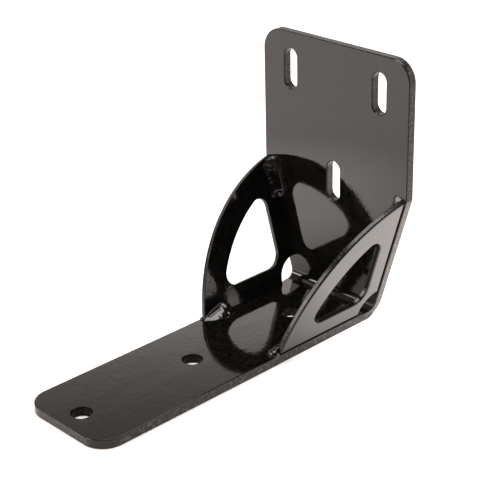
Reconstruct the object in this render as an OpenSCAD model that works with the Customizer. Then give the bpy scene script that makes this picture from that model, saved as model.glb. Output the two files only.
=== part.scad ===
// Awning bracket: a flat bar bent into an arm and a wider upright, stiffened by two side gussets.
// The gussets lean outwards with the spreading sides and are held by four short fillet welds.
// The arm lies along Y on its underside, with the upright standing at its +Y end.
// The origin is the middle of the bracket's footprint, on the underside of the arm.

/* [Bent plate] */
// Thickness of the bent plate
plate_t = 5; // [3:0.5:6]
// Length of the arm, from the upright's back face to the tip
arm_l = 190; // [180:1:220]
// Width of the arm
arm_w = 58; // [50:1:70]
// Height of the upright above the arm's underside
upright_h = 145; // [135:1:170]
// Full width of the upright
upright_w = 100; // [90:1:120]
// Inside radius of the bend
bend_r = 5; // [3:0.5:8]
// Height above the underside at which the sides start to spread
spread_low = 2.7; // [0.5:0.1:2.8]
// Height above the underside at which the upright reaches its full width
spread_high = 72; // [66:1:80]
// Radius of the two corners at the arm's tip
tip_corner_r = 12; // [3:1:20]
// Radius of the two corners at the upright's top
top_corner_r = 12; // [3:1:18]

/* [Arm holes] */
// Diameter of the round holes in the arm
hole_d = 10; // [6:0.5:12]
// Distance from one hole to the next
hole_pitch = 70; // [60:1:74]
// Distance from the arm's tip to the first hole's centre
hole_edge = 12; // [10:1:16]

/* [Upright slots] */
// Width of each slot
slot_w = 9; // [6:0.5:11]
// End-to-end length of each slot
slot_l = 22; // [14:1:26]
// Distance between the centres of the two upper slots
slot_span = 61; // [50:1:66]
// Distance from the upright's top edge down to the centres of the two upper slots
slot_drop = 20; // [18:1:26]
// Distance from the upper slots down to the lower slot
slot_step = 55; // [45:1:60]

/* [Gussets] */
// Thickness of each gusset
gusset_t = 3; // [2:0.5:5]
// Radius of the gusset's curved edge
gusset_arc_r = 89; // [86:1:110]
// Width of the band between the curved edge and the window
gusset_rim = 14; // [10:1:18]
// Width of the straight bands beside the arm and the upright
gusset_band = 10; // [8:1:14]
// Radius of the window's corner nearest the bend
window_heel_r = 8.5; // [3:0.5:12]
// Radius of the window's other two corners
window_tip_r = 6; // [3:0.5:7]
// Clearance between the bend's inside radius and the gusset's cut corner
heel_clearance = 7; // [4:0.5:9]

/* [Welds] */
// Length of the two front beads
front_bead_l = 20; // [18:1:30]
// Length of the two top beads
top_bead_l = 25; // [18:1:30]
// Leg of the front beads, along the arm
front_leg_arm = 5; // [3:0.5:6.5]
// Leg of the front beads, along the gusset
front_leg_gusset = 5; // [3:0.5:7]
// Leg of the top beads, along the upright
top_leg_upright = 4; // [3:0.5:6.5]
// Leg of the top beads, along the gusset
top_leg_gusset = 6.5; // [3:0.5:7]
// How far a bead's face bulges out from the straight line between its two toes
weld_bulge = 0.8; // [0.5:0.1:1.5]
// How far the two right-hand beads run on past the ends of their gusset
weld_wrap_right = 4.5; // [0.5:0.5:6]
// How far the two left-hand beads run on past the ends of their gusset
weld_wrap_left = 1.5; // [0.5:0.5:6]
// Radius of one ripple along the bead, which also rounds the bead's ends
ripple_r = 4.5; // [2:0.5:6]
// Distance from one ripple to the next
ripple_pitch = 2.6; // [1.5:0.1:4]

/* [Hidden] */
$fn = 96;
slack = 1; // how far the cutting shapes reach past what they cut
bend_outer_r = bend_r + plate_t;
spread = (upright_w - arm_w) / 2 / (spread_high - spread_low);
lean = atan(spread);
flare_lead = 1; // how far ahead of the bend the arm's top edge starts to flare
flare_y = -(bend_outer_r + flare_lead + plate_t - spread_low);
gusset_leg = (spread_high - plate_t) / cos(lean);
// The curved edge's centre lies this far behind the gusset's square corner, along each leg
arc_back = (sqrt(2 * pow(gusset_arc_r, 2) - pow(gusset_leg, 2)) - gusset_leg) / 2;
window_arc_r = gusset_arc_r - gusset_rim;
window_tip_at = sqrt(pow(window_arc_r - window_tip_r, 2) - pow(gusset_band + window_tip_r + arc_back, 2))
    - arc_back;
heel_cut_r = bend_r + heel_clearance;
body_colour = [0.07, 0.068, 0.065];

// The parts are drawn with the heel of the bracket at the origin, and moved to the footprint's middle
module at_footprint_middle() {
    translate([0, arm_l / 2, 0]) children();
}

// Side view of the bent plate: y to the back, z up
module side_profile() {
    translate([-arm_l, 0]) square([arm_l - bend_outer_r, plate_t]);
    translate([-plate_t, bend_outer_r]) square([plate_t, upright_h - bend_outer_r]);
    translate([-bend_outer_r, bend_outer_r]) intersection() {
        difference() {
            circle(bend_outer_r);
            circle(bend_r);
        }
        translate([0, -bend_outer_r]) square(bend_outer_r);
    }
}

// A rectangle standing on the x axis, with its two upper corners rounded
module round_topped(width, height, radius) {
    translate([-width / 2, 0]) square([width, height - radius]);
    translate([radius - width / 2, 0]) square([width - 2 * radius, height]);
    for (side = [-1, 1])
        translate([side * (width / 2 - radius), height - radius]) circle(radius);
}

// Front view of the bent plate: the arm's width at the foot, spreading to the upright's width
module front_outline() {
    translate([-arm_w / 2, 0]) square([arm_w, spread_low]);
    polygon([
        [-arm_w / 2, spread_low],
        [arm_w / 2, spread_low],
        [upright_w / 2, spread_high],
        [-upright_w / 2, spread_high]
    ]);
    translate([0, spread_high]) round_topped(upright_w, upright_h - spread_high, top_corner_r);
}

// Plan of the arm and the bend, which flares just ahead of the bend where the sides start to spread
module plan_outline() {
    mirror([0, 1]) translate([0, -flare_y]) round_topped(arm_w, arm_l + flare_y, tip_corner_r);
    half_at_back = arm_w / 2 - spread * flare_y;
    polygon([
        [-arm_w / 2, flare_y],
        [arm_w / 2, flare_y],
        [half_at_back, 0],
        [-half_at_back, 0]
    ]);
}

module front_prism() {
    rotate([90, 0, 0]) linear_extrude(arm_l) front_outline();
}

module bent_solid() {
    intersection() {
        rotate([90, 0, 90]) translate([0, 0, -upright_w / 2]) linear_extrude(upright_w) side_profile();
        front_prism();
        union() {
            linear_extrude(bend_outer_r) plan_outline();
            translate([-upright_w / 2, -plate_t, bend_outer_r])
                cube([upright_w, plate_t, upright_h - bend_outer_r]);
        }
    }
}

module arm_holes() {
    for (i = [0:2])
        translate([0, hole_edge + i * hole_pitch - arm_l, -slack])
            cylinder(d = hole_d, h = plate_t + 2 * slack);
}

// One upright slot, cut from front to back, centred on the given place
module slot_cut(x, z) {
    translate([x, slack, z]) rotate([90, 0, 0]) linear_extrude(plate_t + 2 * slack) {
        square([slot_w, slot_l - slot_w], center = true);
        for (end = [-1, 1])
            translate([0, end * (slot_l - slot_w) / 2]) circle(d = slot_w);
    }
}

module upright_slots() {
    upper_z = upright_h - slot_drop;
    slot_cut(-slot_span / 2, upper_z);
    slot_cut(slot_span / 2, upper_z);
    slot_cut(0, upper_z - slot_step);
}

module bent_plate() {
    color(body_colour) at_footprint_middle() difference() {
        bent_solid();
        arm_holes();
        upright_slots();
    }
}

// The corner between a straight edge of the window and its curved edge, outside the rounding circle
module window_tip_waste() {
    centre = [window_tip_at, gusset_band + window_tip_r];
    from_arc_centre = centre + [arc_back, arc_back];
    difference() {
        polygon([
            centre,
            [centre[0], 0],
            [centre[0] + gusset_leg, 0],
            centre + from_arc_centre
        ]);
        translate(centre) circle(window_tip_r);
    }
}

// Three-cornered window: two straight edges, one curved edge and three rounded corners
module gusset_window() {
    difference() {
        intersection() {
            translate([gusset_band, gusset_band]) square(gusset_leg);
            translate([-arc_back, -arc_back]) circle(window_arc_r);
        }
        difference() {
            translate([gusset_band, gusset_band]) square(window_heel_r);
            translate([gusset_band + window_heel_r, gusset_band + window_heel_r]) circle(window_heel_r);
        }
        window_tip_waste();
        mirror([1, -1]) window_tip_waste();
    }
}

// Gusset before its heel and window are cut: x forwards along the arm and y up the upright.
// It reaches a little past both seams, where the arm and the upright then trim it.
module gusset_blank() {
    past_seams = gusset_t * spread + slack;
    intersection() {
        translate([-past_seams, -past_seams]) square(gusset_arc_r);
        translate([-arc_back, -arc_back]) circle(gusset_arc_r);
    }
}

module gusset_outline() {
    difference() {
        gusset_blank();
        circle(heel_cut_r);
        gusset_window();
    }
}

// Lays a gusset's flat pattern on the right side, with its outer face on the arm's edge
module on_right_side() {
    translate([arm_w / 2, -plate_t, plate_t]) rotate([0, lean, 0]) rotate([90, 0, -90]) children();
}

// The space above the arm and ahead of the upright, on the right side
module inner_corner() {
    translate([0, -arm_l, plate_t]) cube([upright_w, arm_l - plate_t, upright_h]);
}

module gusset_plate() {
    intersection() {
        inner_corner();
        on_right_side() linear_extrude(gusset_t) gusset_outline();
    }
}

module gusset_right() {
    color(body_colour) at_footprint_middle() gusset_plate();
}

module gusset_left() {
    color(body_colour) at_footprint_middle() mirror([1, 0, 0]) gusset_plate();
}

// Radius of the round whose face bulges out from the line between a bead's two toes
function bead_r(chord) = (pow(chord / 2, 2) + pow(weld_bulge, 2)) / (2 * weld_bulge);

// Centre of that round, behind the middle of the line from one toe to the other
function bead_centre(plate_toe, gusset_toe) =
    let (chord = gusset_toe - plate_toe)
    (plate_toe + gusset_toe) / 2 - (bead_r(norm(chord)) - weld_bulge) * [-chord[1], chord[0]] / norm(chord);

// A bead as a full round, standing on the x-y plane: a row of ripples around one axis
module ripple_rod(radius, length) {
    steps = floor((length - 2 * ripple_r) / ripple_pitch);
    rotate_extrude() {
        if (radius > ripple_r)
            square([radius - ripple_r, length]);
        intersection() {
            square([radius, length]);
            for (i = [0:steps])
                translate([radius - ripple_r, ripple_r + i * (length - 2 * ripple_r) / steps])
                    circle(ripple_r);
        }
    }
}

// What the plates and the gusset leave free for a bead on the right side
module bead_space() {
    difference() {
        intersection() {
            inner_corner();
            front_prism();
            on_right_side() translate([-slack, -arm_w, 0]) cube([arm_l, arm_w + upright_h, upright_w]);
        }
        on_right_side() translate([0, 0, -slack]) linear_extrude(gusset_t + slack) gusset_blank();
    }
}

// Bead in the corner between the gusset's inner face and the arm, at the gusset's front end.
// Its section's first number runs up the gusset and its second one inwards, off the outer face.
module front_bead(wrap) {
    seam = [-gusset_t * spread, gusset_t];
    plate_toe = seam + front_leg_arm * [-sin(lean), cos(lean)];
    gusset_toe = seam + [front_leg_gusset, 0];
    centre = bead_centre(plate_toe, gusset_toe);
    intersection() {
        bead_space();
        on_right_side()
            translate([gusset_leg + wrap - front_bead_l, centre[0], centre[1]])
                rotate([0, 90, 0]) ripple_rod(bead_r(norm(gusset_toe - plate_toe)), front_bead_l);
    }
}

// Bead in the corner between the gusset's inner face and the upright, at the gusset's top end.
// Its section's first number runs forwards along the gusset.
module top_bead(wrap) {
    plate_toe = [0, gusset_t + top_leg_upright];
    gusset_toe = [top_leg_gusset, gusset_t];
    centre = bead_centre(plate_toe, gusset_toe);
    intersection() {
        bead_space();
        on_right_side()
            translate([centre[0], gusset_leg + wrap - top_bead_l, centre[1]])
                rotate([-90, 0, 0]) ripple_rod(bead_r(norm(gusset_toe - plate_toe)), top_bead_l);
    }
}

module weld_right_front() {
    color(body_colour) at_footprint_middle() front_bead(weld_wrap_right);
}

module weld_right_top() {
    color(body_colour) at_footprint_middle() top_bead(weld_wrap_right);
}

module weld_left_front() {
    color(body_colour) at_footprint_middle() mirror([1, 0, 0]) front_bead(weld_wrap_left);
}

module weld_left_top() {
    color(body_colour) at_footprint_middle() mirror([1, 0, 0]) top_bead(weld_wrap_left);
}

bent_plate();
gusset_left();
gusset_right();
weld_left_front();
weld_left_top();
weld_right_front();
weld_right_top();
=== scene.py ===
import math

import bmesh
import bpy
from mathutils import Matrix, Vector, noise
from mathutils.geometry import tessellate_polygon

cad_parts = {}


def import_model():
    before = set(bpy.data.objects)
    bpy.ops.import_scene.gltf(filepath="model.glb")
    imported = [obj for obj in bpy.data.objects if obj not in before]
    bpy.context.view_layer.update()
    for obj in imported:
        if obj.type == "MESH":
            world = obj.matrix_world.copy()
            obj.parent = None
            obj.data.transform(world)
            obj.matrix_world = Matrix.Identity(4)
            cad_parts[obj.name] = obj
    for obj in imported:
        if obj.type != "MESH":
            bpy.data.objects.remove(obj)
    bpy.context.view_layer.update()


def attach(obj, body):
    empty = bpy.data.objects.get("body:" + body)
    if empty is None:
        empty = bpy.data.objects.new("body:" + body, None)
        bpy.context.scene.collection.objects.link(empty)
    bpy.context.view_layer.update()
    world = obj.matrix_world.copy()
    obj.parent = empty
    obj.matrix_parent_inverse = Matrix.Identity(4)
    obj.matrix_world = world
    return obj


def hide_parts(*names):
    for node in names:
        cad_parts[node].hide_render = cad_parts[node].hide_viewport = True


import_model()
scene = bpy.context.scene

MM = 0.001

# Sizes of the solids, in mm, in the row frame: x across, y to the back, z up
PLATE_T = 5.0
ARM_FRONT = -95.0  # y of the arm's tip
BACK = 95.0  # y of the upright's back face
TOP = 145.0  # z of the upright's top
ARM_HALF = 29.0  # half the arm's width
SPREAD = 21 / 69.3  # how far the sides spread for each mm of height
LEAN = math.atan(SPREAD)
SPREAD_LOW = 2.7  # z at which the sides start to spread
SPREAD_HIGH = 72.0  # z at which the upright has its full width
FLARE_Y = 81.7  # y at which the underside starts to spread
BEND_R = 10.0  # outer radius of the bend
BEND_Y = BACK - BEND_R
CORNER_R = 12.0  # corners of the arm's tip and of the upright's top
HOLE_R = 5.0
HOLE_YS = (-83.0, -13.0, 57.0)
SLOT_W = 9.0
SLOT_L = 22.0
SLOTS = ((-30.5, 125.0), (30.5, 125.0), (0.0, 70.0))  # x and z of each slot's middle
GUSSET_T = 3.0
ARC_R = 89.0  # the curved edge of each gusset
ARC_BACK = 17.295  # how far its centre lies behind and below the gusset's corner
HEEL_R = 12.0  # the corner cut out round the bend
WINDOW_BAND = 10.0  # metal between the window and each straight seam
WINDOW_ARC_R = 75.0
WINDOW_HEEL_R = 8.5  # the window's corner nearest the bend
WINDOW_TIP_R = 6.0  # and its other two

# Radii of the coated edges, in mm
PLATE_EDGE = 0.5  # on the arm's top and the upright's front, round the holes and slots too
PLATE_BACK_EDGE = 0.5  # on the other side
HOLE_BACK_EDGE = 0.3  # round the holes and slots there
INNER_HOLE_EDGE = 0.3  # round the arm's inner hole, on the top
INNER_HOLE_BACK_EDGE = 0.05  # and underneath
GUSSET_EDGE = 0.8  # on the gussets' outer side
GUSSET_INNER_EDGE = 0.45

SEAM_GAP = 0.7  # the open groove under the outer side of each gusset
SEAM_BACK_GAP = 0.4  # and beside the upright
SEAM_DEPTH = 1.3
SEAM_STEP = 0.02  # the width of the step at the groove's end

# How rough each cut edge is, from 0 for as smooth as a face to 1. The same number sets how many pale specks
# it shows, which are partly the cut surface's own mottle and partly painted glints.
HOLE_ROUGH = 0.3
GUSSET_ROUGH = 0.6
WINDOW_ROUGH = 0.1
# The tip's right corner has fewer pale specks, so it is darker: painted shade
SHADED_CORNER_ROUGH = 0.1  # the tip's right corner
SHADED_CORNER_REACH = 4.6  # it is all smooth this far from its middle, and rough again at twice that

# Material indexes on each plate. Its faces have 0.
CUT_EDGE = 1
HOLE_WALL = 2

SHARP_ANGLE = math.radians(50)  # edges sharper than this aren't shaded smooth
TINY = 1e-6


# Meshes

def blend(a, b, share):
    return a + (b - a) * share


def span(start, stop, count):
    return [blend(start, stop, i / (count - 1)) for i in range(count)]


EDGE_STEPS = 4  # round each edge
BETWEEN = (0.25, 0.5, 0.75)  # where the rings between the two edges lie


def edge_rings(thickness, low_radius, high_radius):
    """(inset, height) pairs from the lower face, round both edges, to the upper face."""
    lower, upper = [], []
    for angle in span(0.0, math.pi / 2, EDGE_STEPS + 1):
        inward, onward = 1 - math.sin(angle), 1 - math.cos(angle)
        lower.append((low_radius * inward, low_radius * onward))
        upper.append((high_radius * onward, thickness - high_radius * inward))
    middle = [(0.0, blend(low_radius, thickness - high_radius, share)) for share in BETWEEN]
    return lower + middle + upper


def evenly(rough):
    """A cut edge that is as rough everywhere."""
    return lambda point: rough


class Sheet:
    """A plate cut from flat stock, with soft edges, built ring by ring."""

    def __init__(self, name):
        self.name = name
        self.bm = bmesh.new()
        self.cut = self.bm.verts.layers.float.new("cut")

    def wall(self, rings, outline, place, material_index, rough=evenly(1.0)):
        """Joins the outlines at each ring, and returns the vertices of the first and last ring.

        outline(inset, height) gives the points of one ring, place(point, height) the place of a point,
        and rough(point) how rough the cut edge is there."""
        rows = []
        for inset, height in rings:
            row = []
            for point in outline(inset, height):
                vert = self.bm.verts.new(Vector(place(point, height)) * MM)
                # The cut value sets an edge's roughness, torch marks and pale specks, and the specks are
                # partly painted glints
                vert[self.cut] = rough(point) if abs(inset) < TINY else 0.0
                row.append(vert)
            rows.append(row)
        for low, high in zip(rows, rows[1:]):
            for i in range(len(low)):
                j = (i + 1) % len(low)
                face = self.bm.faces.new((low[i], low[j], high[j], high[i]))
                face.material_index = material_index
        return rows[0], rows[-1]

    def cap(self, flat, verts):
        """Fills an outline and its holes. flat has the 2D points of each loop, verts its vertices."""
        triangles = tessellate_polygon([[Vector((a, b, 0)) for a, b in loop] for loop in flat])
        every = [vert for loop in verts for vert in loop]
        for triangle in triangles:
            corners = [every[i] for i in triangle]
            if self.bm.faces.get(corners) is None:
                self.bm.faces.new(corners)

    def done(self, node, *materials):
        """Makes the object, which stands for one of the solids."""
        bm = self.bm
        bmesh.ops.recalc_face_normals(bm, faces=bm.faces)
        for face in bm.faces:
            face.smooth = True
        mesh = bpy.data.meshes.new(self.name)
        bm.to_mesh(mesh)
        bm.free()
        mesh.set_sharp_from_angle(angle=SHARP_ANGLE)
        piece = bpy.data.objects.new(self.name, mesh)
        scene.collection.objects.link(piece)
        for material in materials:
            mesh.materials.append(material)
        normals = piece.modifiers.new("flat_faces", "WEIGHTED_NORMAL")
        normals.keep_sharp = True
        stand_for(piece, node)


def stand_for(piece, node):
    """The piece is seen in place of a solid."""
    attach(piece, "root")
    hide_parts(node)


# Bent plate. s runs from the tip along the arm, round the bend and up the upright, and the height
# of a point is its distance from the arm's underside and the upright's back.

ARM_S = BEND_Y - ARM_FRONT  # s where the bend starts
BEND_MID_R = BEND_R - PLATE_T / 2
BEND_END_S = ARM_S + BEND_MID_R * math.pi / 2
END_S = BEND_END_S + TOP - BEND_R


def side_view(s, height):
    """y and z of a point of the plate."""
    if s <= ARM_S:
        return s + ARM_FRONT, height
    if s <= BEND_END_S:
        angle = (s - ARM_S) / BEND_MID_R
        radius = BEND_R - height
        return BEND_Y + radius * math.sin(angle), BEND_R - radius * math.cos(angle)
    return BACK - height, BEND_R + s - BEND_END_S


def half_width(s, height):
    """The sides spread as seen from the front, and in the bend no sooner than as seen from above."""
    y, z = side_view(s, height)
    front = ARM_HALF + SPREAD * (min(max(z, SPREAD_LOW), SPREAD_HIGH) - SPREAD_LOW)
    plan = ARM_HALF + SPREAD * max(y - FLARE_Y, 0.0)
    if s > BEND_END_S:
        return front
    return min(front, plan)


def plate_place(point, height):
    """x, y and z of a point of the plate."""
    s, x = point
    y, z = side_view(s, height)
    return x, y, z


FLAT_S = 170.0  # the arm's face is one flat cap up to here
UP_S = BEND_END_S + 8.0  # and the upright's from here
KINK_S = BEND_END_S + SPREAD_HIGH - BEND_R  # where the spread ends
KINK_HALF = 0.6  # half the length of the finer steps there
# s of the points along each side, between the corners
SIDE_S = (
    span(CORNER_R, FLAT_S, 20)[1:]
    + span(FLAT_S, ARM_S, 15)[1:]
    + span(ARM_S, BEND_END_S, 25)[1:]
    + span(BEND_END_S, UP_S, 4)[1:]
    + span(UP_S, KINK_S - KINK_HALF, 8)[1:]
    + span(KINK_S - KINK_HALF, KINK_S + KINK_HALF, 5)[1:]
    + span(KINK_S + KINK_HALF, END_S - CORNER_R, 10)[1:-1]
)
CORNER_POINTS = 13
HOLE_POINTS = 25  # round each half of a hole or slot


def plate_outline(inset, height):
    """(s, x) up the right side from the tip to the top, then down the left side to the tip."""
    radius = CORNER_R - inset
    right = []
    for angle in span(-math.pi / 2, 0, CORNER_POINTS):
        right.append((CORNER_R + radius * math.sin(angle),
                      ARM_HALF - CORNER_R + radius * math.cos(angle)))
    for s in SIDE_S:
        right.append((s, half_width(s, height) - inset))
    top_half = half_width(END_S, height) - CORNER_R
    for angle in span(0, math.pi / 2, CORNER_POINTS):
        right.append((END_S - CORNER_R + radius * math.sin(angle),
                      top_half + radius * math.cos(angle)))
    return right + [(s, -x) for s, x in reversed(right)]


def plate_rough_with_shaded_corner(point):
    """How rough the plate's outer edge is: smooth round the tip's right corner, where fewer pale specks leave
    the corner darker as painted shade.
    """
    s, x = point
    offset = CORNER_R * math.sqrt(0.5)
    away = math.hypot(s - (CORNER_R - offset), x - (ARM_HALF - CORNER_R + offset))
    smooth = min(1.0, max(0.0, 2.0 - away / SHADED_CORNER_REACH))
    return blend(1.0, SHADED_CORNER_ROUGH, smooth)


def round_hole(centre_s, centre_x, width, length):
    """The outline of a hole or slot: width across the part, length along s."""
    reach = (length - width) / 2

    def outline(inset, height):
        radius = width / 2 + inset
        points = []
        for start, end in ((0.0, reach), (math.pi, -reach)):
            for angle in span(start, start + math.pi, HOLE_POINTS):
                points.append((centre_s + end + radius * math.sin(angle),
                               centre_x + radius * math.cos(angle)))
        if reach == 0:  # each half ends where the other starts
            points = points[:HOLE_POINTS - 1] + points[HOLE_POINTS:-1]
        return points
    return outline


def bent_plate(*materials):
    sheet = Sheet("bent_plate_coated")
    rings = edge_rings(PLATE_T, PLATE_BACK_EDGE, PLATE_EDGE)
    outer = sheet.wall(rings, plate_outline, plate_place, CUT_EDGE, plate_rough_with_shaded_corner)

    hole_rings = edge_rings(PLATE_T, HOLE_BACK_EDGE, PLATE_EDGE)
    inner_rings = edge_rings(PLATE_T, INNER_HOLE_BACK_EDGE, INNER_HOLE_EDGE)
    holes = [(round_hole(y - ARM_FRONT, 0.0, 2 * HOLE_R, 2 * HOLE_R), around)
             for y, around in zip(HOLE_YS, (hole_rings, hole_rings, inner_rings))]
    slots = [(round_hole(BEND_END_S + z - BEND_R, x, SLOT_W, SLOT_L), hole_rings) for x, z in SLOTS]
    hole_walls = [sheet.wall(around, outline, plate_place, HOLE_WALL, evenly(HOLE_ROUGH))
                  for outline, around in holes]
    slot_walls = [sheet.wall(around, outline, plate_place, CUT_EDGE) for outline, around in slots]

    for k, end in ((0, 0), (1, -1)):  # the underside and back, then the top and front
        flat = plate_outline(*rings[end])
        half = len(flat) // 2
        edge = outer[k]
        arm = [i for i in range(len(flat)) if flat[i][0] <= FLAT_S + TINY]
        arm = [i for i in arm if i >= half] + [i for i in arm if i < half]
        upright = [i for i in range(len(flat)) if flat[i][0] >= UP_S - TINY]
        for part, openings, walls in ((arm, holes, hole_walls), (upright, slots, slot_walls)):
            sheet.cap([[flat[i] for i in part]] + [outline(*around[end]) for outline, around in openings],
                      [[edge[i] for i in part]] + [wall[k] for wall in walls])
        for i in range(half - 1):  # strips across the bend
            if FLAT_S - TINY <= flat[i][0] and flat[i + 1][0] <= UP_S + TINY:
                j = len(flat) - 1 - i
                sheet.bm.faces.new((edge[i], edge[i + 1], edge[j - 1], edge[j]))
    sheet.done("bent_plate", *materials)


# Gussets. p runs forwards from the upright's front face, q up the lean from the arm's top face, and
# the height of a point is its distance from the outer side.

SEAM_POINTS = 14
ARC_POINTS = 90
HEEL_POINTS = 16


def gusset_place(side):
    """side is 1 for the right gusset and -1 for the left."""
    def place(point, height):
        p, q = point
        x = ARM_HALF - height * math.cos(LEAN) + q * math.sin(LEAN)
        z = PLATE_T + height * math.sin(LEAN) + q * math.cos(LEAN)
        return side * x, BACK - PLATE_T - p, z
    return place


def arc_points(centre_p, centre_q, radius, start, stop, count):
    """(p, q) of points on an arc, from one angle to the other."""
    return [(centre_p + radius * math.cos(angle), centre_q + radius * math.sin(angle))
            for angle in span(start, stop, count)]


def gusset_outline(inset, height):
    """(p, q) forwards along the arm, up the curve, down the upright and round the heel."""
    gap, back_gap = (SEAM_GAP, SEAM_BACK_GAP) if height < SEAM_DEPTH else (0.0, 0.0)
    seam_q = inset + gap - height * math.tan(LEAN)
    seam_p = inset + back_gap
    arc, heel = ARC_R - inset, HEEL_R + inset
    heel_p = math.sqrt(heel ** 2 - seam_q ** 2)
    heel_q = math.sqrt(heel ** 2 - seam_p ** 2)
    front_p = math.sqrt(arc ** 2 - (seam_q + ARC_BACK) ** 2) - ARC_BACK
    top_q = math.sqrt(arc ** 2 - (seam_p + ARC_BACK) ** 2) - ARC_BACK
    points = [(p, seam_q) for p in span(heel_p, front_p, SEAM_POINTS)[:-1]]
    start = math.atan2(seam_q + ARC_BACK, front_p + ARC_BACK)
    stop = math.atan2(top_q + ARC_BACK, seam_p + ARC_BACK)
    points += arc_points(-ARC_BACK, -ARC_BACK, arc, start, stop, ARC_POINTS)[:-1]
    points += [(seam_p, q) for q in span(top_q, heel_q, SEAM_POINTS)[:-1]]
    start = math.atan2(heel_q, seam_p)
    stop = math.atan2(seam_q, heel_p)
    points += arc_points(0.0, 0.0, heel, start, stop, HEEL_POINTS)[:-1]
    return points


# The window's two far corners have their centres at (WINDOW_TIP_FAR, WINDOW_TIP_NEAR) and the reverse.
WINDOW_TIP_NEAR = WINDOW_BAND + WINDOW_TIP_R
WINDOW_TIP_FAR = (
    math.sqrt((WINDOW_ARC_R - WINDOW_TIP_R) ** 2 - (WINDOW_TIP_NEAR + ARC_BACK) ** 2) - ARC_BACK
)
WINDOW_SIDE_POINTS = 6
WINDOW_TIP_POINTS = 16
WINDOW_ARC_POINTS = 60


def window_outline(inset, height):
    """(p, q) round the heel corner, forwards, over the curve and down the back. A positive inset opens it."""
    near, far = WINDOW_TIP_NEAR, WINDOW_TIP_FAR
    heel = WINDOW_BAND + WINDOW_HEEL_R
    aim = math.atan2(near + ARC_BACK, far + ARC_BACK)
    tip_r = WINDOW_TIP_R + inset
    side = span(heel, far, WINDOW_SIDE_POINTS)[1:-1]
    points = arc_points(heel, heel, WINDOW_HEEL_R + inset, math.pi, 1.5 * math.pi, CORNER_POINTS)
    points += [(p, WINDOW_BAND - inset) for p in side]
    points += arc_points(far, near, tip_r, -math.pi / 2, aim, WINDOW_TIP_POINTS)
    points += arc_points(-ARC_BACK, -ARC_BACK, WINDOW_ARC_R + inset, aim, math.pi / 2 - aim,
                         WINDOW_ARC_POINTS)[1:-1]
    points += arc_points(near, far, tip_r, math.pi / 2 - aim, math.pi, WINDOW_TIP_POINTS)
    points += [(WINDOW_BAND - inset, q) for q in reversed(side)]
    return points


def gusset(side, name, *materials):
    sheet = Sheet(f"gusset_{name}_coated")
    rings = edge_rings(GUSSET_T, GUSSET_EDGE, GUSSET_INNER_EDGE)
    # Two close rings take the place of the first one between the edges, so the groove ends in a step
    first = EDGE_STEPS + 1
    rings[first:first + 1] = [(0.0, SEAM_DEPTH - SEAM_STEP / 2), (0.0, SEAM_DEPTH + SEAM_STEP / 2)]
    place = gusset_place(side)
    outer = sheet.wall(rings, gusset_outline, place, CUT_EDGE, evenly(GUSSET_ROUGH))
    window = sheet.wall(rings, window_outline, place, CUT_EDGE, evenly(WINDOW_ROUGH))
    for k, ring in ((0, rings[0]), (1, rings[-1])):
        sheet.cap([gusset_outline(*ring), window_outline(*ring)], [outer[k], window[k]])
    sheet.done(f"gusset_{name}", *materials)


# Weld beads. Each is lofted along its seam, and then fused with the blobs at its end.

TOE = 0.8  # how far the coat runs out past each edge of a bead
TOE_SHARES = (1 / 3, 2 / 3, 1.0)  # where its points lie
SUNK = 0.7  # how deep a bead's hidden side lies in the metal
SUNK_CORNER = 1.4 * SUNK  # and how far behind the seam its corner lies
RIPPLE_PITCH = 2.6
RIPPLE_RISE = 0.1
RIPPLE_CURVE = 1.1  # how far each ripple bows along the seam
LUMP_SIZE = 2.6
LUMP_RISE = 0.22
PIT_STRETCH = 0.7  # shortens distances across a bead, so that pits are wider that way
SECTION_STEPS = 22  # across the face of a bead
SECTION_SMOOTHINGS = 3
SECTION_PITCH = 0.2  # from one section to the next
BLOB_SUBDIVISIONS = 4
VOXEL = 0.15
BEAD_SMOOTHINGS = 6
UPWARDS = (0, 0, 1)


class Seam:
    """A corner between the plate and the inner face of a gusset, and the directions out of it."""

    def __init__(self, origin, along, on_plate, on_gusset, plate_normal, gusset_normal):
        self.origin = Vector(origin)
        self.along = Vector(along)
        self.on_plate = Vector(on_plate)
        self.on_gusset = Vector(on_gusset)
        self.plate_normal = Vector(plate_normal)
        self.gusset_normal = Vector(gusset_normal)
        self.outward = (self.on_plate + self.on_gusset).normalized()

    def at(self, t, plate_leg, gusset_leg):
        """The point at t along the seam, and these distances out on the plate and up the gusset."""
        return self.origin + self.along * t + self.on_plate * plate_leg + self.on_gusset * gusset_leg


SEAM_X = ARM_HALF - GUSSET_T / math.cos(LEAN)


def up_the_lean(side):
    """The direction up a gusset's faces."""
    return side * math.sin(LEAN), 0, math.cos(LEAN)


def out_of_gusset(side):
    """The direction out of a gusset's inner face."""
    return -side * math.cos(LEAN), 0, math.sin(LEAN)


def front_seam(side):
    """Between the arm and a gusset. t is y."""
    return Seam((side * SEAM_X, 0, PLATE_T), (0, 1, 0), (-side, 0, 0), up_the_lean(side),
                (0, 0, 1), out_of_gusset(side))


def top_seam(side):
    """Between the upright and a gusset. t is the distance up the lean from the arm's top face."""
    return Seam((side * SEAM_X, BACK - PLATE_T, PLATE_T), up_the_lean(side), out_of_gusset(side),
                (0, -1, 0), (0, -1, 0), out_of_gusset(side))


def between(stations, t):
    """The values at t, on a smooth curve through the stations (Catmull-Rom)."""
    last = len(stations) - 1
    i = max(k for k in range(last) if stations[k][0] <= t + TINY)
    before, low, high, after = (stations[max(min(k, last), 0)] for k in (i - 1, i, i + 1, i + 2))
    width = high[0] - low[0]
    share = (t - low[0]) / width
    values = []
    for k in range(1, len(low)):
        slope_low = (high[k] - before[k]) / (high[0] - before[0]) * width
        slope_high = (after[k] - low[k]) / (after[0] - low[0]) * width
        value = blend(low[k], high[k], 3 * share ** 2 - 2 * share ** 3)
        value += (share ** 3 - 2 * share ** 2 + share) * slope_low
        value += (share ** 3 - share ** 2) * slope_high
        values.append(max(value, 0.0))
    return values


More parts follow.
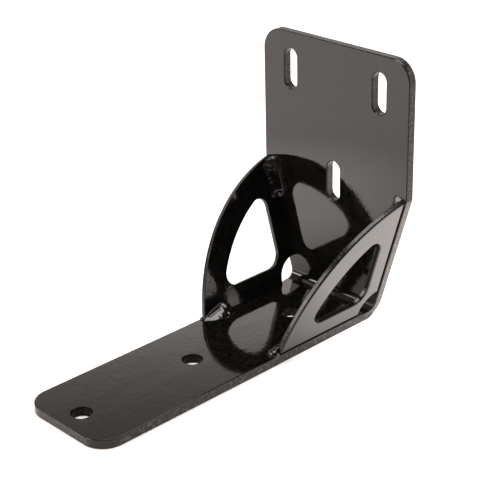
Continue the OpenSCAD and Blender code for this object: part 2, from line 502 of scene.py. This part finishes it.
def bead_section(seam, t, stations, pits, seed):
    """The closed section of a bead: over its face from the plate to the gusset, and back inside the metal."""
    plate_leg, gusset_leg, bulge, rough = between(stations, t)
    row = [seam.at(t, plate_leg + TOE * share, 0.0) for share in reversed(TOE_SHARES)]
    for w in span(0.0, 1.0, SECTION_STEPS + 1):
        point = seam.at(t, plate_leg * (1 - w), gusset_leg * w)
        crown = math.sin(math.pi * w)
        phase = (t + RIPPLE_CURVE * (2 * w - 1) ** 2) / RIPPLE_PITCH
        ripple = RIPPLE_RISE * math.cos(2 * math.pi * phase)
        lump = LUMP_RISE * noise.noise(point / LUMP_SIZE + Vector((seed, 0, 0)))
        rise = bulge * crown + (ripple + lump) * rough * crown ** 0.5
        for pit_t, pit_w, radius, depth in pits:
            across = (w - pit_w) * (plate_leg + gusset_leg) * PIT_STRETCH
            rise -= depth * math.exp(-(math.hypot(t - pit_t, across) / radius) ** 4)
        row.append(point + seam.outward * rise)
    row += [seam.at(t, 0.0, gusset_leg + TOE * share) for share in TOE_SHARES]
    for _ in range(SECTION_SMOOTHINGS):
        inner = [(a + 2 * b + c) / 4 for a, b, c in zip(row, row[1:], row[2:])]
        row = [row[0]] + inner + [row[-1]]
    row.append(row[-1] - seam.gusset_normal * SUNK)
    row.append(seam.at(t, 0, 0) - seam.outward * SUNK_CORNER)
    row.append(row[0] - seam.plate_normal * SUNK)
    return row


def weld_bead(node, material, seam, stations, blobs=(), pits=(), seed=0.0):
    """Lofts a bead and fuses it with its blobs. All sizes are in mm.

    stations: t, leg on the plate, leg on the gusset, bulge, roughness.
    blobs: centre, radii, axis of the third radius.
    pits: t, share of the way from the plate to the gusset, radius, depth."""
    bm = bmesh.new()
    rows = []
    start, stop = stations[0][0], stations[-1][0]
    for t in span(start, stop, round((stop - start) / SECTION_PITCH) + 1):
        rows.append([bm.verts.new(point * MM) for point in bead_section(seam, t, stations, pits, seed)])
    for low, high in zip(rows, rows[1:]):
        for i in range(len(low)):
            j = (i + 1) % len(low)
            bm.faces.new((low[i], low[j], high[j], high[i]))
    for row in (rows[0], rows[-1]):
        bm.faces.new(row)
    for centre, radii, axis in blobs:
        turn = Vector(axis).to_track_quat("Z", "Y").to_matrix().to_4x4()
        stretch = Matrix.Diagonal((*(radius * MM for radius in radii), 1))
        shape = Matrix.Translation(Vector(centre) * MM) @ turn @ stretch
        bmesh.ops.create_icosphere(bm, subdivisions=BLOB_SUBDIVISIONS, radius=1.0, matrix=shape)
    bmesh.ops.recalc_face_normals(bm, faces=bm.faces)
    mesh = bpy.data.meshes.new(node + "_coated")
    bm.to_mesh(mesh)
    bm.free()
    mesh.materials.append(material)
    piece = bpy.data.objects.new(mesh.name, mesh)
    scene.collection.objects.link(piece)
    fuse = piece.modifiers.new("fuse", "REMESH")
    fuse.mode = "VOXEL"
    fuse.voxel_size = VOXEL * MM
    fuse.use_smooth_shade = True
    soften = piece.modifiers.new("soften", "SMOOTH")
    soften.iterations = BEAD_SMOOTHINGS
    stand_for(piece, node)


# Materials

# Indexes of the mix node's colour sockets
MIX_A, MIX_B, MIX_RESULT = 6, 7, 2


def node_tree(owner):
    owner.use_nodes = True
    tree = owner.node_tree
    tree.nodes.clear()
    return tree


class Graph:
    """Short helpers for building a node tree."""

    def __init__(self, tree):
        self.tree = tree

    def add(self, kind, **values):
        node = self.tree.nodes.new(kind)
        for key, value in values.items():
            setattr(node, key, value)
        return node

    def link(self, source, target):
        self.tree.links.new(source, target)

    def math(self, operation, a, b=None):
        node = self.add("ShaderNodeMath", operation=operation)
        for i, value in enumerate((a, b)):
            if isinstance(value, (int, float)):
                node.inputs[i].default_value = value
            elif value is not None:
                self.link(value, node.inputs[i])
        return node.outputs[0]

    def vector_math(self, operation, a, b=None):
        """A number from the vector a and the fixed vector b."""
        node = self.add("ShaderNodeVectorMath", operation=operation)
        self.link(a, node.inputs[0])
        if b is not None:
            node.inputs[1].default_value = b
        return node.outputs["Value"]

    def noise(self, position, scale, detail, roughness, distortion=0.0):
        node = self.add("ShaderNodeTexNoise")
        node.inputs["Scale"].default_value = scale
        node.inputs["Detail"].default_value = detail
        node.inputs["Roughness"].default_value = roughness
        node.inputs["Distortion"].default_value = distortion
        self.link(position, node.inputs["Vector"])
        return node.outputs["Fac"]

    def remap(self, value, low, high, to_low, to_high):
        """From to_low at low to to_high at high, and level beyond them."""
        node = self.add("ShaderNodeMapRange")
        self.link(value, node.inputs["Value"])
        for name, number in (("From Min", low), ("From Max", high), ("To Min", to_low), ("To Max", to_high)):
            node.inputs[name].default_value = number
        return node.outputs["Result"]


DARK_COLOUR = (0.0005, 0.0005, 0.0004, 1)
LIGHT_COLOUR = (0.0075, 0.0072, 0.0066, 1)
# Pale specks on the cut edges: partly the cut surface's own mottle, partly painted glints and sheen
SPECKLE_AND_GLINT_COLOUR = (0.080, 0.076, 0.071, 1)
# Noises: scale for each metre, detail, roughness
COLOUR_NOISE = (480.0, 3.0, 0.6)
SPECKLE_AND_GLINT_NOISE = (600.0, 3.0, 0.6)
GLOSS_NOISE = (140.0, 2.0, 0.5)
PEEL_NOISES = (((110.0, 1.0, 0.5), 2.0), ((420.0, 2.0, 0.6), 1.7), ((1000.0, 1.0, 0.5), 0.3))  # and rise
MARK_NOISE = (1300.0, 2.0, 0.6)
MARK_RISE = 6.0
LUMP_NOISE = (700.0, 2.0, 0.5, 0.6)  # and distortion
RISE_UNIT = 0.01 * MM
# Remaps: from, to, value at from, value at to
COLOUR_REMAP = (0.3, 0.7, 0.0, 1.0)
SPECKLE_AND_GLINT_REMAP = (0.49, 0.70, 0.0, 1.0)
GLOSS_REMAP = (0.3, 0.7, 0.04, 0.08)
CUT_DULLNESS = 0.20


def powder_coat(name, lumps=0.0, ior=1.5):
    """Gloss black powder coat: orange peel on the faces, a rougher cut surface under it on the edges."""
    material = bpy.data.materials.new(name)
    graph = Graph(node_tree(material))
    out = graph.add("ShaderNodeOutputMaterial")
    shader = graph.add("ShaderNodeBsdfPrincipled")
    graph.link(shader.outputs[0], out.inputs["Surface"])
    shader.inputs["IOR"].default_value = ior
    place = graph.add("ShaderNodeTexCoord").outputs["Object"]

    # Colour: near black, a little uneven, with pale specks on the cut edges that are partly the cut surface's
    # own mottle and partly painted glints and sheen
    ramp = graph.add("ShaderNodeValToRGB")
    ramp.color_ramp.elements[0].color = DARK_COLOUR
    ramp.color_ramp.elements[1].color = LIGHT_COLOUR
    graph.link(graph.remap(graph.noise(place, *COLOUR_NOISE), *COLOUR_REMAP), ramp.inputs[0])
    cut = graph.add("ShaderNodeAttribute", attribute_name="cut").outputs["Fac"]
    # Pale specks where the cut value is high, partly painted glints
    specks_and_glints = graph.remap(graph.noise(place, *SPECKLE_AND_GLINT_NOISE), *SPECKLE_AND_GLINT_REMAP)
    with_specks_and_glints = graph.add("ShaderNodeMix", data_type="RGBA")
    graph.link(graph.math("MULTIPLY", specks_and_glints, cut), with_specks_and_glints.inputs["Factor"])
    graph.link(ramp.outputs[0], with_specks_and_glints.inputs[MIX_A])
    with_specks_and_glints.inputs[MIX_B].default_value = SPECKLE_AND_GLINT_COLOUR
    graph.link(with_specks_and_glints.outputs[MIX_RESULT], shader.inputs["Base Color"])

    # Gloss: a soft variation, duller on the cut edges
    gloss = graph.remap(graph.noise(place, *GLOSS_NOISE), *GLOSS_REMAP)
    gloss = graph.math("ADD", gloss, graph.math("MULTIPLY", cut, CUT_DULLNESS))
    graph.link(gloss, shader.inputs["Roughness"])

    # Orange peel: dimples of three sizes, and on the cut edges the torch's marks
    marks = graph.math("MULTIPLY", graph.noise(place, *MARK_NOISE), MARK_RISE)
    height = graph.math("MULTIPLY", marks, cut)
    for settings, rise in PEEL_NOISES:
        dimples = graph.math("MULTIPLY", graph.noise(place, *settings), rise)
        height = graph.math("ADD", height, dimples)
    if lumps:
        uneven = graph.math("MULTIPLY", graph.noise(place, *LUMP_NOISE), lumps)
        height = graph.math("ADD", height, uneven)
    bump = graph.add("ShaderNodeBump")
    bump.inputs["Strength"].default_value = 1.0
    bump.inputs["Distance"].default_value = RISE_UNIT
    graph.link(height, bump.inputs["Height"])
    graph.link(bump.outputs[0], shader.inputs["Normal"])
    return material


coat = powder_coat("plate_coat")
# The cut edges reflect less than the faces, which paints the rims and the tip's corner darker. The hole walls
# reflect far less, which paints shade inside the holes.
cut_edge_shaded_coat = powder_coat("cut_edge_shaded_coat", ior=1.38)
shaded_hole_coat = powder_coat("shaded_hole_coat", ior=1.15)
bead_coat = powder_coat("bead_coat", lumps=1.0)

bent_plate(coat, cut_edge_shaded_coat, shaded_hole_coat)
gusset(1, "right", coat, cut_edge_shaded_coat)
gusset(-1, "left", coat, cut_edge_shaded_coat)
# A thin front end, a row of small marks beside the gusset, and two craters at the back
weld_bead("weld_left_front", bead_coat, front_seam(-1),
          stations=((18.8, 0.4, 0.3, 0.0, 0.0), (20.0, 1.3, 0.8, 0.0, 0.0), (22.6, 3.6, 2.1, 0.0, 0.1),
                    (25.0, 4.5, 2.9, 0.0, 0.1), (28.0, 5.1, 3.8, 0.0, 0.2), (31.0, 5.3, 4.6, 0.3, 0.9),
                    (35.0, 5.0, 5.0, 0.6, 1.7), (37.2, 3.6, 3.2, 0.6, 1.0), (38.4, 1.0, 0.8, 0.1, 0.2)),
          blobs=(((-27.6, 19.3, 5.1), (1.7, 1.3, 1.1), UPWARDS),),
          pits=[(22.4 + 0.8 * k, 0.78, 0.7, 0.3) for k in range(11)]
          + [(32.6, 0.3, 1.0, 0.5), (36.2, 0.5, 1.2, 0.6)],
          seed=1.0)
# A crater at the low end, and a flat fold on top
weld_bead("weld_left_top", bead_coat, top_seam(-1),
          stations=((46.2, 0.8, 1.2, 0.0, 0.2), (47.4, 2.8, 4.6, 0.6, 0.4), (50.5, 3.6, 6.0, 0.2, 0.2),
                    (56.0, 3.6, 6.0, 0.2, 0.3), (62.0, 3.4, 6.6, 0.2, 0.4), (66.0, 2.8, 7.4, 0.2, 0.3),
                    (68.4, 2.0, 5.6, 0.0, 0.1), (70.0, 0.3, 1.0, 0.0, 0.0)),
          blobs=(((-44.4, 86.4, 67.6), (2.8, 2.6, 0.8), (0.52, -0.50, 0.69)),),
          pits=((48.6, 0.38, 1.9, 1.3),),
          seed=2.0)
# A lump that wraps past the gusset's front end
weld_bead("weld_right_front", bead_coat, front_seam(1),
          stations=((19.0, 3.0, 3.0, 0.5, 1.0), (24.0, 4.6, 4.4, 0.6, 1.0),
                    (32.0, 4.8, 4.6, 0.6, 1.0), (35.2, 1.0, 1.0, 0.1, 1.0)),
          blobs=(((25.9, 18.4, 5.2), (3.4, 2.9, 2.6), UPWARDS),),
          seed=3.0)
# A lump over the gusset's top end, and a tilted disc sunk in the upright behind it
weld_bead("weld_right_top", bead_coat, top_seam(1),
          stations=((49.8, 1.0, 1.4, 0.1, 1.0), (53.0, 3.8, 5.8, 0.4, 1.0),
                    (66.0, 3.8, 5.6, 0.4, 1.0), (70.0, 3.0, 2.6, 0.3, 1.0)),
          blobs=(((45.2, 90.0, 71.0), (3.4, 1.6, 2.6), UPWARDS),
                 ((46.2, 90.2, 72.5), (3.8, 3.8, 0.9), (0.398, -0.392, 0.829))),
          seed=4.0)


# Studio

# Directions in the room. The arm points to the front.
BACK_RIGHT = (0.73, 0.68, 0)
FRONT_RIGHT = (0.73, -0.68, 0)
DIM_SIDE = (0.74, -0.62, 0.26)  # the side of the room that gives little light

FLOOR_SIZE = 12.0
FLOOR_COLOUR = (0.90, 0.86, 0.835, 1)
# The floor's glow is painted light: it stands in for light falling round the part, washes out its shadows,
# and adds two pools of light that the sides and gussets reflect
PAINTED_GLOW_COLOUR = (1.05, 0.97, 0.935, 1)
# Remaps: from, to, value at from, value at to
GLOW_BY_DISTANCE = (0.08, 0.25, 0.3, 0.7)  # from the origin
GLOW_TO_FRONT = (0.10, 0.30, 1.0, 0.0)  # along FRONT_RIGHT
FLOOR_LIGHT_POOLS = (  # centre, radius of full glow, radius of none, strength
    ((0.08, 0.12, 0), 0.05, 0.12, 1.9),
    ((-0.12, 0.0, 0), 0.04, 0.11, 1.05),
)

WALL_LEVELS = (  # degrees above the floor, radiance
    (0.0, 0.4), (12, 0.45), (15, 0.55), (19, 0.9), (21.5, 1.85), (25, 1.75), (27.5, 1.55),
    (29, 1.0), (30, 0.72), (31, 0.56), (32.5, 0.42), (40, 0.3), (90, 0.3),
)
WALL_STRENGTH = 2.0  # the ramp's colours are stored divided by this
WALL_TINT = (1.085, 1.0, 0.955)
RAISED_HEIGHT = (0.80, 0.92, 0.0, 0.24)  # along BACK_RIGHT
STRENGTH_TO_DIM_SIDE = (0.72, 0.88, WALL_STRENGTH, 0.12)  # along DIM_SIDE

LAMP_COLOUR = (1.0, 0.96, 0.92)
LIGHTS = (  # name, place, target, width, height, radiance
    ("overhead_light", (-0.02, 0.15, 0.8), (-0.02, 0.15, 0), 0.38, 0.72, 7.0),
    ("left_light", (-0.70, -0.58, 0.42), (0, 0, 0.03), 0.22, 0.22, 7.0),
    ("front_light", (-0.33, -0.79, 0.47), (0.03, 0.04, 0.04), 0.30, 0.80, 7.0),
)

# The camera, solved from the photograph
SENSOR_WIDTH = 36
FOCAL_LENGTH = 105.308
CLIP_START = 0.01
EYE = (0.46376025, -0.41575283, 0.35070841)
EYE_RIGHT = (0.69376504, 0.71982581, -0.0232566)
EYE_UP = (-0.28540321, 0.30443158, 0.90877193)
EYE_BACK = (0.66123753, -0.62383669, 0.41664459)


def floor():
    """A pale floor with painted light: it glows a little round the part, more in two pools of light, and not
    far out in front.
    """
    bpy.ops.mesh.primitive_plane_add(size=FLOOR_SIZE, location=(0, 0, 0))
    plane = bpy.context.object
    plane.name = "floor"
    material = bpy.data.materials.new("floor")
    graph = Graph(node_tree(material))
    out = graph.add("ShaderNodeOutputMaterial")
    shader = graph.add("ShaderNodeBsdfDiffuse")
    shader.inputs["Color"].default_value = FLOOR_COLOUR
    place = graph.add("ShaderNodeTexCoord").outputs["Object"]
    level = graph.remap(graph.vector_math("LENGTH", place), *GLOW_BY_DISTANCE)
    fade = graph.remap(graph.vector_math("DOT_PRODUCT", place, FRONT_RIGHT), *GLOW_TO_FRONT)
    level = graph.math("MULTIPLY", level, fade)
    # Two painted pools of light
    for centre, inner, outer, strength in FLOOR_LIGHT_POOLS:
        away = graph.vector_math("DISTANCE", place, centre)
        level = graph.math("ADD", level, graph.remap(away, inner, outer, strength, 0.0))
    glow = graph.add("ShaderNodeEmission")
    glow.inputs["Color"].default_value = PAINTED_GLOW_COLOUR
    graph.link(level, glow.inputs["Strength"])
    both = graph.add("ShaderNodeAddShader")
    graph.link(shader.outputs[0], both.inputs[0])
    graph.link(glow.outputs[0], both.inputs[1])
    graph.link(both.outputs[0], out.inputs["Surface"])
    plane.data.materials.append(material)


def world():
    """A pale wall all round, brightest from 20 to 28 degrees above the floor, and dim on one side."""
    surroundings = bpy.data.worlds.new("studio")
    scene.world = surroundings
    graph = Graph(node_tree(surroundings))
    out = graph.add("ShaderNodeOutputWorld")
    background = graph.add("ShaderNodeBackground")
    graph.link(background.outputs[0], out.inputs["Surface"])
    direction = graph.add("ShaderNodeTexCoord").outputs["Generated"]

    # Height above the floor, as a share of the way up. Far enough to the back right it is raised to
    # the brightest part of the wall, which reaches down to the floor there.
    split = graph.add("ShaderNodeSeparateXYZ")
    graph.link(direction, split.inputs[0])
    height = graph.math("DIVIDE", graph.math("ARCSINE", split.outputs[2]), math.pi / 2)
    back_right = graph.vector_math("DOT_PRODUCT", direction, BACK_RIGHT)
    height = graph.math("MAXIMUM", height, graph.remap(back_right, *RAISED_HEIGHT))

    ramp = graph.add("ShaderNodeValToRGB")
    elements = ramp.color_ramp.elements
    while len(elements) < len(WALL_LEVELS):
        elements.new(0.5)
    for element, (degrees, radiance) in zip(elements, WALL_LEVELS):
        element.position = degrees / 90
        element.color = (*(radiance / WALL_STRENGTH * tint for tint in WALL_TINT), 1)
    graph.link(height, ramp.inputs[0])
    graph.link(ramp.outputs[0], background.inputs["Color"])

    dim_side = graph.vector_math("DOT_PRODUCT", direction, Vector(DIM_SIDE).normalized())
    graph.link(graph.remap(dim_side, *STRENGTH_TO_DIM_SIDE), background.inputs["Strength"])


def softbox(name, place, target, width, height, radiance):
    """A rectangular light at place that faces the target."""
    light = bpy.data.lights.new(name, "AREA")
    light.shape = "RECTANGLE"
    light.size = width
    light.size_y = height
    light.energy = radiance * math.pi * width * height
    light.color = LAMP_COLOUR
    lamp = bpy.data.objects.new(name, light)
    scene.collection.objects.link(lamp)
    lamp.location = place
    lamp.rotation_mode = "QUATERNION"
    lamp.rotation_quaternion = (Vector(target) - Vector(place)).to_track_quat("-Z", "Y")


def camera():
    data = bpy.data.cameras.new("camera")
    data.sensor_width = SENSOR_WIDTH
    data.lens = FOCAL_LENGTH
    data.clip_start = CLIP_START
    eye = bpy.data.objects.new("camera", data)
    turn = Matrix((EYE_RIGHT, EYE_UP, EYE_BACK)).transposed().to_4x4()
    eye.matrix_world = Matrix.Translation(EYE) @ turn
    scene.collection.objects.link(eye)
    scene.camera = eye


floor()
world()
for settings in LIGHTS:
    softbox(*settings)
camera()
scene.view_settings.view_transform = "Standard"
